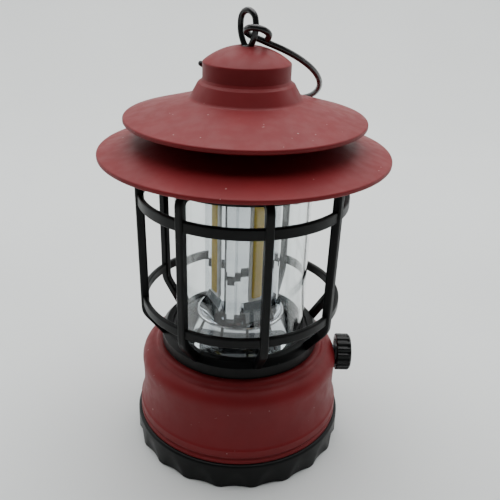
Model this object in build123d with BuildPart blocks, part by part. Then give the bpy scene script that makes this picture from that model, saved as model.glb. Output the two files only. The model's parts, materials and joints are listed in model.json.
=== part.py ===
from build123d import *
import os
from math import atan, cos, degrees, radians, sin, sqrt

# Battery camping lantern in the shape of an old oil lantern.
# Millimetres, +Z up, origin on the table under the lantern's axis, -Y is the front, the knob is on +X.

# ---- driving dimensions ----
# foot ring and floor
FOOT_R = 48.0
FOOT_H = 12.2
FOOT_INNER_R = 41.2
FLOOR_Z = 2.6
FLOOR_T = 2.4
SCALLOPS = 20
SCALLOP_R = 22.0
SCALLOP_DEPTH = 1.3
SCALLOP_TOP = 9.0
SPIGOT_R = 43.9
SPIGOT_H = 3.0

# battery bay
CELL_R = 7.25
CELL_L = 50.5
CELL_NUB_R = 2.75
CELL_NUB_L = 1.3
CELL_PITCH = 15.4
BAY_X = 29.0
BAY_Y = 24.0
BAY_WALL = 1.6
BAY_CEILING = 20.4
CELL_Z = 12.7
DOOR_GAP = 0.3
DOOR_T = 2.0
DOOR_PIN_R = 0.8
DOOR_PIN_L = 1.4
PIN_CLEARANCE = 0.05

# red base
NECK_TOP = 48.4
NECK_R = 34.0
WALL = 2.0
POST_R = 3.4
POST_X = 23.0
POST_Y = 30.3
POST_TOP = 43.6
SCREW_R = 1.3
SCREW_HEAD_R = 2.5

# dimmer and knob, on the +X side
KNOB_Z = 39.8
KNOB_R = 8.5
KNOB_FROM = 45.3
KNOB_TO = 52.0
KNOB_FLUTES = 18
SHAFT_R = 2.0
BUSH_R = 3.2

# collar, lamp glass and cage
COLLAR_R = 35.7
COLLAR_TOP = 56.0
DECK_TOP = 51.0
POCKET_R = 30.6
GLASS_R = 29.0
GLASS_T = 1.6
GLASS_BOTTOM = 52.0
GLASS_TOP = 130.0
RING_T = 2.2
LOWER_RING = (43.9, 68.9, 73.1)
UPPER_RING = (44.5, 115.7, 120.4)
BARS = 8
FIRST_BAR = -77.0
BAR_W = 3.4
BAR_T = 3.6
BAR_BEND = 7.0
CROWN_R = 38.5
CROWN_BOTTOM = 126.5
CROWN_PLATE = (131.0, 133.0)

# lamp inside the glass
DISH_R = 19.3
DISH_Z = 63.4
DISH_FLOOR = 58.0
COLUMN_BOTTOM = 59.4
COLUMN_TOP = 128.6
COLUMN_TURN = 30.0
COLUMN_FOOT = (13.5, 63.6)
COLUMN_BORE_R = 6.2
COLUMN_CORNER = 14.3
COLUMN_RIB = (16.6, 3.3)
LED_FACE = 12.6
RAMP_HALF_W = 7.0
RAMP = ((12.0, 63.6), (17.2, 63.6), (17.2, 65.5), (12.8, 72.9), (12.0, 72.9))
LED_BOARD_W = 7.0
LED_W = 4.9
LED_FROM = 74.5
LED_TO = 127.0

# roofs
ROOF_SLOPE = 0.279
ROOF_T = 1.9
LIP_T = 1.8
LOWER_ROOF = (59.6, 135.6)
UPPER_ROOF = (48.75, 149.25)
NECK_TUBE_R = 24.2
TIER_R = 22.4
DOME_R = 17.4
DOME_FROM = 165.6
DOME_EDGE = 172.0
DOME_TOP = 178.4
DOME_HOLE_R = 3.8

# hanging eye and hook, bent from round wire
WIRE_R = 1.2
EYE_TURN = -45.0
EYE_STEM = (170.4, 178.4)
HOOK_WIRE_R = 1.25
HOOK_PIVOT = (2.7, -2.7, 183.3)
HOOK_ROLL = 0.221
HOOK_FALL = 0.578
HOOK_LOOP_R = 4.4
HOOK_SHANK = 10.8
HOOK_SIDE_BEND = (37.5, 81.7)
HOOK_FAR_BEND = (19.1, 80.0)
HOOK_FAR_RUN = 12.5
HOOK_BACK_BEND = (17.7, 70.0)
HOOK_TIP_BEND = (12.0, -35.0)

os.makedirs("parts", exist_ok=True)


def save(piece, name):
    """Label a finished piece and write it as one STEP file."""
    piece.part.label = name
    export_step(piece.part, f"parts/{name}.step")


def turned(points, rounding=0.0):
    """A turned part: a closed outline of radius and height, carried once round the Z axis."""
    with BuildPart() as body:
        with BuildSketch(Plane.XZ):
            with BuildLine():
                Polyline(*points, close=True)
            make_face()
        revolve(axis=Axis.Z)
        if rounding:
            fillet(body.edges().filter_by(GeomType.CIRCLE), rounding)
    return body


# ---- foot ring, floor and battery bay ----
def corners(x, y):
    """The four points that mirror one another across both axes."""
    return [(x, y), (-x, y), (-x, -y), (x, -y)]


floor_top = FLOOR_Z + FLOOR_T
scallop_tilt = degrees(atan(SCALLOP_DEPTH / SCALLOP_TOP))
bay_outer_x = BAY_X + BAY_WALL
bay_outer_y = BAY_Y + BAY_WALL
pin_x = -BAY_X + DOOR_GAP + DOOR_T / 2
pin_z = FLOOR_Z + DOOR_T / 2
door_edge_y = BAY_Y - DOOR_GAP

with BuildPart() as bottom_cover:
    with BuildSketch(Plane.XZ):
        with BuildLine():
            Polyline(
                (0, FLOOR_Z), (FOOT_INNER_R, FLOOR_Z), (FOOT_INNER_R, 0), (FOOT_R, 0), (FOOT_R, FOOT_H),
                (SPIGOT_R, FOOT_H), (SPIGOT_R, FOOT_H + SPIGOT_H), (SPIGOT_R - WALL, FOOT_H + SPIGOT_H),
                (SPIGOT_R - WALL, floor_top), (0, floor_top), close=True,
            )
        make_face()
    revolve(axis=Axis.Z)
    rim = bottom_cover.edges().filter_by(GeomType.CIRCLE).filter_by(lambda e: abs(e.radius - FOOT_R) < 0.01)
    fillet(rim.sort_by(Axis.Z)[-1], 1.3)
    with PolarLocations(0, SCALLOPS):
        with Locations(Location((FOOT_R - SCALLOP_DEPTH + SCALLOP_R, 0, 0), (0, scallop_tilt, 0))):
            Cylinder(SCALLOP_R, 4 * FOOT_H, mode=Mode.SUBTRACT)
    with BuildSketch(Plane.XY.offset(floor_top)):
        Rectangle(2 * bay_outer_x, 2 * bay_outer_y)
    extrude(amount=BAY_CEILING + BAY_WALL - floor_top)
    with BuildSketch(Plane.XY.offset(FLOOR_Z)):
        Rectangle(2 * BAY_X, 2 * BAY_Y)
    extrude(amount=BAY_CEILING - FLOOR_Z, mode=Mode.SUBTRACT)
    # pin holes for the door and a thumb scoop beside its free end
    with Locations(Location((pin_x, 0, pin_z), (90, 0, 0))):
        Cylinder(DOOR_PIN_R + PIN_CLEARANCE, 2 * (door_edge_y + DOOR_PIN_L + DOOR_GAP), mode=Mode.SUBTRACT)
    with Locations((BAY_X + 3, 0, FLOOR_Z - 5.0)):
        Sphere(6.4, mode=Mode.SUBTRACT)
    # holes for the four bottom screws
    with BuildSketch(Plane.XY):
        with Locations(*corners(POST_X, POST_Y)):
            Circle(SCREW_R + 0.15)
    extrude(amount=2 * floor_top, mode=Mode.SUBTRACT)
save(bottom_cover, "bottom_cover")

with BuildPart() as battery_door:
    with BuildSketch(Plane.XY.offset(FLOOR_Z)):
        Rectangle(2 * (BAY_X - DOOR_GAP), 2 * door_edge_y)
    extrude(amount=DOOR_T)
    hinge_edges = battery_door.edges().filter_by(Axis.Y).sort_by(Axis.X)[:2]
    fillet(hinge_edges, DOOR_T / 2 - 0.05)
    with Locations(Location((pin_x, 0, pin_z), (90, 0, 0))):
        Cylinder(DOOR_PIN_R, 2 * (door_edge_y + DOOR_PIN_L))
    # three grip ribs sunk into the outer face
    with BuildSketch(Plane.XY.offset(FLOOR_Z)):
        with Locations((BAY_X - 6, 0), (BAY_X - 9, 0), (BAY_X - 12, 0)):
            SlotOverall(18, 1.2, rotation=90)
    extrude(amount=0.6, mode=Mode.SUBTRACT)
save(battery_door, "battery_door")

with BuildPart() as bottom_screws:
    with BuildSketch(Plane.XY.offset(FLOOR_Z)):
        with Locations(*corners(POST_X, POST_Y)):
            Circle(SCREW_R)
    extrude(amount=12)
    with BuildSketch(Plane.XY.offset(FLOOR_Z)):
        with Locations(*corners(POST_X, POST_Y)):
            Circle(SCREW_HEAD_R)
    extrude(amount=-1.5)
    with BuildSketch(Plane.XY.offset(FLOOR_Z - 1.5)):
        with Locations(*corners(POST_X, POST_Y)):
            Rectangle(3.2, 0.6)
            Rectangle(0.6, 3.2)
    extrude(amount=0.8, mode=Mode.SUBTRACT)
save(bottom_screws, "bottom_screws")

for number, side in enumerate((1, -1, 1), start=1):
    row_y = (number - 2) * CELL_PITCH
    cell_plane = Plane(origin=(-side * CELL_L / 2, row_y, CELL_Z), z_dir=(side, 0, 0))
    with BuildPart() as battery_cell:
        with BuildSketch(cell_plane):
            Circle(CELL_R)
        extrude(amount=CELL_L - CELL_NUB_L)
        fillet(battery_cell.edges().filter_by(GeomType.CIRCLE), 0.6)
        with BuildSketch(cell_plane.offset(CELL_L - CELL_NUB_L)):
            Circle(CELL_NUB_R)
        extrude(amount=CELL_NUB_L)
    save(battery_cell, f"battery_cell_{number}")

# leaf contacts: a bent strip from the bay's end wall to each cell's end
LEAF_T = 0.4
for name, side in (("contact_strip_left", -1), ("contact_strip_right", 1)):
    wall_x = side * (BAY_X - 0.02)
    tip_x = side * (CELL_L / 2 + 0.05)
    with BuildPart() as contact_strip:
        for row in (-1, 0, 1):
            with BuildSketch(Plane.XZ.offset(-row * CELL_PITCH)):
                with BuildLine():
                    Polyline(
                        (wall_x, CELL_Z - 6), (wall_x, CELL_Z + 6), (wall_x - side * LEAF_T, CELL_Z + 6),
                        (wall_x - side * LEAF_T, CELL_Z + 4.5), (tip_x, CELL_Z + 1), (tip_x, CELL_Z - 1),
                        (tip_x + side * LEAF_T, CELL_Z - 1), (tip_x + side * LEAF_T, CELL_Z + 0.8),
                        (wall_x - side * LEAF_T, CELL_Z + 3.9), (wall_x - side * LEAF_T, CELL_Z - 6), close=True,
                    )
                make_face()
            extrude(amount=4, both=True)
    save(contact_strip, name)

# ---- red base ----
with BuildPart() as base_body:
    with BuildSketch(Plane.XZ):
        with BuildLine():
            Polyline(
                (44.2, FOOT_H), (46.6, FOOT_H), (46.6, 13.9), (45.9, 14.5), (45.9, 15.1), (46.6, 15.8),
                (46.4, 18.8), (45.9, 19.5),
            )
            Spline((45.9, 19.5), (44.6, 29.0), (44.9, 38.0), tangents=((-0.25, 1), (0, 1)))
            ThreePointArc((44.9, 38.0), (43.9, 42.9), (40.6, 45.8))
            ThreePointArc((40.6, 45.8), (39.2, 46.2), (38.4, 46.9))
            ThreePointArc((38.4, 46.9), (37.6, 48.1), (36.4, NECK_TOP))
            Polyline((36.4, NECK_TOP), (NECK_R, NECK_TOP), (NECK_R, 44.6), (38.0, 43.6))
            ThreePointArc((38.0, 43.6), (41.6, 41.2), (42.9, 37.0))
            Polyline((42.9, 37.0), (42.7, 27.0), (44.2, 17.0), (44.2, FOOT_H))
        make_face()
    revolve(axis=Axis.Z)
    with BuildSketch(Plane.XY.offset(floor_top)):
        with Locations(*corners(POST_X, POST_Y)):
            Circle(POST_R)
    extrude(amount=POST_TOP - floor_top)
    with BuildSketch(Plane.XY.offset(floor_top)):
        with Locations(*corners(POST_X, POST_Y)):
            Circle(SCREW_R + 0.05)
    extrude(amount=14, mode=Mode.SUBTRACT)
    with BuildSketch(Plane.YZ.offset(BAY_X)):
        with Locations((0, KNOB_Z)):
            Circle(BUSH_R + 0.2)
    extrude(amount=FOOT_R - BAY_X, mode=Mode.SUBTRACT)
save(base_body, "base_body")

# ---- dimmer and its knob, on an axis along +X ----
DIMMER_FROM = 31.0
DIMMER_TO = 37.6
NUT_FROM = 45.0
NUT_T = 1.3


def knob_axis(x):
    """The plane square to the knob's axis at a distance x from the lantern's axis."""
    return Plane(origin=(x, 0, KNOB_Z), x_dir=(0, 1, 0), z_dir=(1, 0, 0))


with BuildPart() as dimmer_body:
    with BuildSketch(knob_axis(DIMMER_FROM)):
        RectangleRounded(10, 7.4, 0.8)
    extrude(amount=DIMMER_TO - DIMMER_FROM)
    with BuildSketch(knob_axis(DIMMER_TO)):
        Circle(BUSH_R)
    extrude(amount=NUT_FROM + NUT_T + 0.3 - DIMMER_TO)
    with BuildSketch(knob_axis(DIMMER_FROM + 1.5)):
        Circle(SHAFT_R + PIN_CLEARANCE)
    extrude(amount=KNOB_TO - DIMMER_FROM, mode=Mode.SUBTRACT)
save(dimmer_body, "dimmer_body")

with BuildPart() as dimmer_nut:
    with BuildSketch(knob_axis(NUT_FROM)):
        RegularPolygon(4.6, 6, major_radius=False)
        Circle(BUSH_R + 0.02, mode=Mode.SUBTRACT)
    extrude(amount=NUT_T)
save(dimmer_nut, "dimmer_nut")

shaft_end = KNOB_TO - 2.0
with BuildPart() as dimmer_shaft:
    with BuildSketch(knob_axis(DIMMER_FROM + 2)):
        Circle(SHAFT_R)
    extrude(amount=shaft_end - DIMMER_FROM - 2)
    with BuildSketch(knob_axis(KNOB_FROM + 1.4)):
        with Locations((0, SHAFT_R)):
            Rectangle(2 * SHAFT_R, SHAFT_R)
    extrude(amount=shaft_end - KNOB_FROM, mode=Mode.SUBTRACT)
save(dimmer_shaft, "dimmer_shaft")

with BuildPart() as dimmer_knob:
    with BuildSketch(knob_axis(KNOB_FROM)):
        Circle(KNOB_R)
    extrude(amount=KNOB_TO - KNOB_FROM)
    chamfer(dimmer_knob.edges().filter_by(GeomType.CIRCLE).sort_by(Axis.X)[-1], 0.9)
    with BuildSketch(knob_axis(KNOB_FROM)):
        with PolarLocations(KNOB_R + 0.45, KNOB_FLUTES):
            Circle(0.95)
    extrude(amount=KNOB_TO - KNOB_FROM - 0.4, mode=Mode.SUBTRACT)
    with BuildSketch(knob_axis(KNOB_FROM)):
        Circle(6.0)
    extrude(amount=1.5, mode=Mode.SUBTRACT)
    with BuildSketch(knob_axis(KNOB_FROM)):
        Circle(SHAFT_R)
        with Locations((0, SHAFT_R)):
            Rectangle(2 * SHAFT_R, SHAFT_R, mode=Mode.SUBTRACT)
    extrude(amount=shaft_end - KNOB_FROM, mode=Mode.SUBTRACT)
    # pointer groove on the front face
    with BuildSketch(knob_axis(KNOB_TO)):
        with Locations((0, 5.0)):
            Rectangle(0.9, 4.0)
    extrude(amount=-0.5, mode=Mode.SUBTRACT)
save(dimmer_knob, "dimmer_knob")

# ---- collar, board and leads ----
BOARD_R = 27.0
BOARD_Z = 42.8
BOARD_T = 1.6
SPACER_R = 22.0
COLLAR_SKIRT_R = 33.8

with BuildPart() as collar:
    with BuildSketch(Plane.XZ):
        with BuildLine():
            Polyline(
                (9, 49.0), (31.4, 49.0), (31.4, 45.2), (COLLAR_SKIRT_R, 45.2), (COLLAR_SKIRT_R, NECK_TOP),
                (COLLAR_R, NECK_TOP), (COLLAR_R, 53.6), (33.6, COLLAR_TOP), (POCKET_R, COLLAR_TOP),
                (POCKET_R, DECK_TOP), (9, DECK_TOP), close=True,
            )
        make_face()
    revolve(axis=Axis.Z)
    with BuildSketch(Plane.XY.offset(BOARD_Z + BOARD_T)):
        with PolarLocations(SPACER_R, 3, start_angle=90):
            Circle(3)
    extrude(amount=50.0 - BOARD_Z - BOARD_T)
    with BuildSketch(Plane.XY.offset(BOARD_Z + BOARD_T)):
        with PolarLocations(SPACER_R, 3, start_angle=90):
            Circle(SCREW_R)
    extrude(amount=4.6, mode=Mode.SUBTRACT)
save(collar, "collar")

with BuildPart() as circuit_board:
    with BuildSketch(Plane.XY.offset(BOARD_Z)):
        Circle(BOARD_R)
        with PolarLocations(SPACER_R, 3, start_angle=90):
            Circle(SCREW_R + 0.1, mode=Mode.SUBTRACT)
    extrude(amount=BOARD_T)
    with BuildSketch(Plane.XY.offset(BOARD_Z)):
        with Locations((8, 4), (-9, -6)):
            Rectangle(6, 5)
    extrude(amount=-1.6)
save(circuit_board, "circuit_board")

with BuildPart() as board_screws:
    with BuildSketch(Plane.XY.offset(BOARD_Z)):
        with PolarLocations(SPACER_R, 3, start_angle=90):
            Circle(SCREW_R - 0.05)
    extrude(amount=BOARD_T + 4.2)
    with BuildSketch(Plane.XY.offset(BOARD_Z)):
        with PolarLocations(SPACER_R, 3, start_angle=90):
            Circle(SCREW_HEAD_R)
    extrude(amount=-1.4)
save(board_screws, "board_screws")

with BuildPart() as led_leads:
    with BuildSketch(Plane.XY.offset(BOARD_Z + BOARD_T)):
        with Locations((2.5, 0), (-2.5, 0)):
            Circle(0.6)
    extrude(amount=24)
save(led_leads, "led_leads")

with BuildPart() as battery_leads:
    with BuildSketch(Plane.XY.offset(BAY_CEILING + BAY_WALL)):
        with Locations((12, 18), (-12, 18)):
            Circle(0.6)
    extrude(amount=BOARD_Z - BAY_CEILING - BAY_WALL)
save(battery_leads, "battery_leads")

# ---- reflector, column and light strips ----
with BuildPart() as reflector_skirt:
    with BuildSketch(Plane.XZ):
        with BuildLine():
            ThreePointArc((27.0, DECK_TOP), (22.2, 56.2), (19.6, 62.6))
            ThreePointArc((19.6, 62.6), (DISH_R - 0.3, DISH_Z), (18.6, 62.8))
            ThreePointArc((18.6, 62.8), (14.5, 59.0), (9.0, DISH_FLOOR))
            Polyline((9.0, DISH_FLOOR), (9.0, 56.8), (14.2, 57.6))
            ThreePointArc((14.2, 57.6), (20.6, 56.0), (25.2, DECK_TOP))
            Line((25.2, DECK_TOP), (27.0, DECK_TOP))
        make_face()
    revolve(axis=Axis.Z)
save(reflector_skirt, "reflector_skirt")

foot_r, shaft_bottom = COLUMN_FOOT
rib_r, rib_w = COLUMN_RIB
with BuildPart() as reflector_column:
    with BuildSketch(Plane.XY.offset(COLUMN_BOTTOM)):
        Circle(foot_r)
    extrude(amount=shaft_bottom - COLUMN_BOTTOM)
    # square shaft with cut corners and a rib down each corner
    with BuildSketch(Plane.XY.offset(shaft_bottom)):
        Rectangle(2 * LED_FACE, 2 * LED_FACE, rotation=COLUMN_TURN)
        Rectangle(2 * COLUMN_CORNER, 2 * COLUMN_CORNER, rotation=COLUMN_TURN + 45, mode=Mode.INTERSECT)
        Rectangle(2 * rib_r, rib_w, rotation=COLUMN_TURN + 45)
        Rectangle(2 * rib_r, rib_w, rotation=COLUMN_TURN - 45)
    extrude(amount=COLUMN_TOP - shaft_bottom)
    # a mirror ramp under each light strip
    for number in range(4):
        face = COLUMN_TURN + 90 * number
        with BuildSketch(Plane.XZ.rotated((0, 0, face))):
            Polygon(*RAMP, align=None)
        extrude(amount=RAMP_HALF_W, both=True)
    with BuildSketch(Plane.XY.offset(COLUMN_BOTTOM)):
        Circle(COLUMN_BORE_R)
    extrude(amount=COLUMN_TOP - COLUMN_BOTTOM, mode=Mode.SUBTRACT)
save(reflector_column, "reflector_column")

LED_BOARD_T = 0.8
for number in range(4):
    face = COLUMN_TURN - 90 + 90 * number
    out = Vector(cos(radians(face)), sin(radians(face)), 0)
    side_dir = Vector(-out.Y, out.X, 0)
    middle = (LED_FROM + LED_TO) / 2
    board_plane = Plane(origin=out * LED_FACE + Vector(0, 0, middle), x_dir=side_dir, z_dir=out)
    with BuildPart() as led_board:
        with BuildSketch(board_plane):
            Rectangle(LED_BOARD_W, LED_TO - LED_FROM + 3)
        extrude(amount=LED_BOARD_T)
    save(led_board, f"led_board_{number + 1}")
    with BuildPart() as led_strip:
        with BuildSketch(board_plane.offset(LED_BOARD_T)):
            RectangleRounded(LED_W, LED_TO - LED_FROM, 1.2)
        extrude(amount=0.6)
    save(led_strip, f"led_strip_{number + 1}")

reflector_cap = turned([
    (0, COLUMN_TOP), (16, COLUMN_TOP), (27.0, 129.6), (27.0, 130.6), (0, 130.6),
])
save(reflector_cap, "reflector_cap")

# ---- glass and its two seals ----
glass = turned([
    (GLASS_R - GLASS_T, GLASS_BOTTOM), (GLASS_R, GLASS_BOTTOM), (GLASS_R, GLASS_TOP), (GLASS_R - GLASS_T, GLASS_TOP),
])
save(glass, "glass_chimney")

SEAL_OUT = POCKET_R - 0.1
SEAL_IN = GLASS_R + 0.05
for name, end, tip in (("glass_seal_lower", GLASS_BOTTOM, DECK_TOP), ("glass_seal_upper", GLASS_TOP, CROWN_PLATE[0])):
    grip = end + 3.2 * (end - tip)
    seal = turned([
        (GLASS_R - GLASS_T - 0.2, tip), (SEAL_OUT, tip), (SEAL_OUT, grip), (SEAL_IN, grip), (SEAL_IN, end),
        (GLASS_R - GLASS_T - 0.2, end),
    ])
    save(seal, name)

# ---- cage ----
crown_slot = 33.4
wall_in = CROWN_R - 2.2


def roof_under(r):
    """Height of the lower roof's underside at radius r."""
    return LOWER_ROOF[1] + LIP_T + (LOWER_ROOF[0] - r) * ROOF_SLOPE - ROOF_T


with BuildPart() as cage_crown:
    with BuildSketch(Plane.XZ):
        with BuildLine():
            Polyline(
                (5, CROWN_PLATE[0]), (POCKET_R, CROWN_PLATE[0]), (POCKET_R, CROWN_BOTTOM), (CROWN_R, CROWN_BOTTOM),
                (CROWN_R, roof_under(CROWN_R)), (wall_in, roof_under(wall_in)), (wall_in, CROWN_PLATE[1]),
                (5, CROWN_PLATE[1]), close=True,
            )
        make_face()
    revolve(axis=Axis.Z)
    with BuildSketch(Plane.XY.offset(CROWN_BOTTOM)):
        with PolarLocations(crown_slot, 3, start_angle=FIRST_BAR + 22.5):
            Circle(SCREW_R + 0.1)
    extrude(amount=CROWN_PLATE[1] - CROWN_BOTTOM, mode=Mode.SUBTRACT)
save(cage_crown, "cage_crown")

with BuildPart() as crown_screws:
    with BuildSketch(Plane.XY.offset(CROWN_BOTTOM)):
        with PolarLocations(crown_slot, 3, start_angle=FIRST_BAR + 22.5):
            Circle(SCREW_R)
    extrude(amount=13)
    with BuildSketch(Plane.XY.offset(CROWN_BOTTOM)):
        with PolarLocations(crown_slot, 3, start_angle=FIRST_BAR + 22.5):
            Circle(SCREW_HEAD_R)
    extrude(amount=-1.5)
    with BuildSketch(Plane.XY.offset(CROWN_BOTTOM - 1.5)):
        with PolarLocations(crown_slot, 3, start_angle=FIRST_BAR + 22.5):
            Rectangle(3.2, 0.6)
            Rectangle(0.6, 3.2)
    extrude(amount=0.8, mode=Mode.SUBTRACT)
save(crown_screws, "crown_screws")


def cage_ring(ring):
    """One flat hoop of the cage: outer radius, bottom and top."""
    radius, low, high = ring
    return turned([(radius - RING_T, low), (radius, low), (radius, high), (radius - RING_T, high)], 0.6)


lower_ring = cage_ring(LOWER_RING)
upper_ring = cage_ring(UPPER_RING)
save(lower_ring, "cage_lower_ring")
save(upper_ring, "cage_upper_ring")

# one bar rises from the collar, stands upright outside the hoops and bends in under the roof
with BuildPart() as straight_bar:
    with BuildLine(Plane.XZ) as bar_line:
        FilletPolyline((32.6, 52.2), (42.9, 65.4), (43.6, 128.7), (36.0, 128.7), radius=BAR_BEND)
    with BuildSketch(Plane(origin=bar_line.wire() @ 0, x_dir=(0, 1, 0), z_dir=bar_line.wire() % 0)):
        RectangleRounded(BAR_W, BAR_T, 0.8)
    sweep(path=bar_line.wire())

for number in range(BARS):
    with BuildPart() as cage_bar:
        add(straight_bar.part.rotate(Axis.Z, FIRST_BAR + 360 / BARS * number))
        add(lower_ring.part, mode=Mode.SUBTRACT)
        add(upper_ring.part, mode=Mode.SUBTRACT)
        add(cage_crown.part, mode=Mode.SUBTRACT)
        add(collar.part, mode=Mode.SUBTRACT)
        biggest = cage_bar.part.solids().sort_by(SortBy.VOLUME)[-1]
        add(biggest, mode=Mode.INTERSECT)
    save(cage_bar, f"cage_bar_{number + 1}")

# ---- roofs ----
low_r, low_z = LOWER_ROOF
with BuildPart() as roof_lower:
    with BuildSketch(Plane.XZ):
        with BuildLine():
            Polyline(
                (low_r - 1.6, low_z), (low_r, low_z), (low_r, low_z + LIP_T),
                (26.8, low_z + LIP_T + (low_r - 26.8) * ROOF_SLOPE), (26.8, 150.2), (24.6, 150.2),
                (24.6, roof_under(24.6)), (low_r - 1.6, roof_under(low_r - 1.6)), close=True,
            )
        make_face()
    revolve(axis=Axis.Z)
    lip = roof_lower.edges().filter_by(GeomType.CIRCLE).filter_by(lambda e: abs(e.radius - low_r) < 0.01)
    fillet(lip, 0.7)
    with BuildSketch(Plane.XY.offset(CROWN_PLATE[1])):
        with PolarLocations(crown_slot, 3, start_angle=FIRST_BAR + 22.5):
            Circle(2.7)
            Circle(SCREW_R + 0.05, mode=Mode.SUBTRACT)
    extrude(until=Until.NEXT)
save(roof_lower, "roof_lower")

up_r, up_z = UPPER_ROOF
tier_z = up_z + LIP_T + (up_r - TIER_R) * ROOF_SLOPE
dome_under = DOME_TOP - 1.9
dome_rise = DOME_TOP - DOME_EDGE
dome_ball_r = (DOME_R**2 + dome_rise**2) / (2 * dome_rise)


def dome_height(r):
    """Height of the dome, the cap of a ball, at radius r."""
    return DOME_TOP - dome_ball_r + sqrt(dome_ball_r**2 - r**2)


with BuildPart() as roof_upper:
    with BuildSketch(Plane.XZ):
        with BuildLine():
            Polyline((up_r - 1.6, up_z), (up_r, up_z), (up_r, up_z + LIP_T), (TIER_R + 1.4, tier_z - 0.39))
            ThreePointArc((TIER_R + 1.4, tier_z - 0.39), (TIER_R, tier_z + 0.35), (TIER_R - 0.9, tier_z + 1.6))
            Line((TIER_R - 0.9, tier_z + 1.6), (19.1, 164.2))
            ThreePointArc((19.1, 164.2), (18.5, 164.8), (17.8, 165.0))
            Line((17.8, 165.0), (DOME_R, DOME_FROM))
            Line((DOME_R, DOME_FROM), (DOME_R, DOME_EDGE))
            ThreePointArc((DOME_R, DOME_EDGE), (10.0, dome_height(10.0)), (DOME_HOLE_R, dome_height(DOME_HOLE_R)))
            Polyline((DOME_HOLE_R, dome_height(DOME_HOLE_R)), (2.3, DOME_TOP - 1.5), (2.3, dome_under),
                     (5.2, dome_under), (9.8, DOME_TOP - 3.6), (15.2, DOME_EDGE - 1.2),
                     (15.2, 164.4), (17.4, 163.2), (20.0, tier_z), (22.0, 156.0), (22.0, 144.6),
                     (NECK_TUBE_R, 144.6), (NECK_TUBE_R, tier_z - 2.4),
                     (up_r - 1.6, up_z + LIP_T + 1.6 * ROOF_SLOPE - ROOF_T), (up_r - 1.6, up_z))
        make_face()
    revolve(axis=Axis.Z)
    lip = roof_upper.edges().filter_by(GeomType.CIRCLE).filter_by(lambda e: abs(e.radius - up_r) < 0.01)
    fillet(lip, 0.7)
    crease = roof_upper.edges().filter_by(GeomType.CIRCLE).filter_by(
        lambda e: abs(e.radius - DOME_R) < 0.01 and abs(e.center().Z - DOME_EDGE) < 0.01)
    fillet(crease, 0.8)
save(roof_upper, "roof_upper")

# ---- bent wire ----
def onward(before, radius, arc_size):
    """An arc that carries on smoothly from the end of another edge."""
    return JernArc(start=before @ 1, tangent=before % 1, radius=radius, arc_size=arc_size)


# ---- hanging eye: a bent wire loop on a threaded stem, held by a washer and a nut ----
with BuildLine() as eye_line:
    right_leg = JernArc(start=(0.9, 177.3), tangent=(cos(radians(47)), sin(radians(47))), radius=12, arc_size=53)
    top_bend = onward(right_leg, 4.0, 160)
    onward(top_bend, 12, 53)
eye_dir = Vector(cos(radians(EYE_TURN)), sin(radians(EYE_TURN)), 0)
eye_plane = Plane(origin=(0, 0, 0), x_dir=eye_dir, z_dir=eye_dir.cross(Vector(0, 0, 1)))
eye_path = eye_plane * eye_line.wire()

with BuildPart() as hanging_eye:
    with BuildSketch(Plane(origin=eye_path @ 0, z_dir=eye_path % 0)):
        Circle(WIRE_R)
    sweep(path=eye_path)
    with BuildSketch(Plane.XY.offset(EYE_STEM[0])):
        Circle(2.1)
    extrude(amount=EYE_STEM[1] - EYE_STEM[0])
save(hanging_eye, "hanging_eye")

with BuildPart() as eye_washer:
    with BuildSketch(Plane.XY.offset(dome_under - 0.9)):
        Circle(4.6)
        Circle(2.15, mode=Mode.SUBTRACT)
    extrude(amount=0.9)
save(eye_washer, "eye_washer")

with BuildPart() as eye_nut:
    with BuildSketch(Plane.XY.offset(dome_under - 4.1)):
        RegularPolygon(3.5, 6, major_radius=False)
        Circle(2.15, mode=Mode.SUBTRACT)
    extrude(amount=3.2)
save(eye_nut, "eye_nut")

# ---- hook: one wire, a small loop round the eye and a wide open bend that lies behind the dome ----
loop_reach = 5.4
with BuildLine() as hook_line:
    leg = Line((loop_reach, 3.0), (loop_reach, 0))
    loop = JernArc(start=leg @ 1, tangent=(0, -1), radius=HOOK_LOOP_R, arc_size=-250)
    shank = PolarLine(start=loop @ 1, length=HOOK_SHANK, angle=20)
    side_bend = onward(shank, *HOOK_SIDE_BEND)
    far_bend = onward(side_bend, *HOOK_FAR_BEND)
    far_run = Line(far_bend @ 1, far_bend @ 1 + HOOK_FAR_RUN * (far_bend % 1))
    back_bend = onward(far_run, *HOOK_BACK_BEND)
    onward(back_bend, *HOOK_TIP_BEND)
hook_plane = Plane(origin=HOOK_PIVOT, x_dir=(1, 0, -HOOK_ROLL), z_dir=(HOOK_ROLL, HOOK_FALL, 1))
hook_path = hook_plane * hook_line.wire()

with BuildPart() as hook:
    with BuildSketch(Plane(origin=hook_path @ 0, z_dir=hook_path % 0)):
        Circle(HOOK_WIRE_R)
    sweep(path=hook_path)
    with Locations(hook_path @ 0, hook_path @ 1):
        Sphere(HOOK_WIRE_R)
save(hook, "hook")
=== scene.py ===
"""A red and black camping lantern in the shape of an old oil lantern, as a Blender add-on run as a script.

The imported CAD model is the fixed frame.  Each operator makes one group of pieces round it.
Lengths in this file are millimetres until a mesh is filled, and Blender's metres after that.
"""

import json
import math

import bmesh
import bpy
import numpy as np
from mathutils import Matrix, Vector


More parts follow.
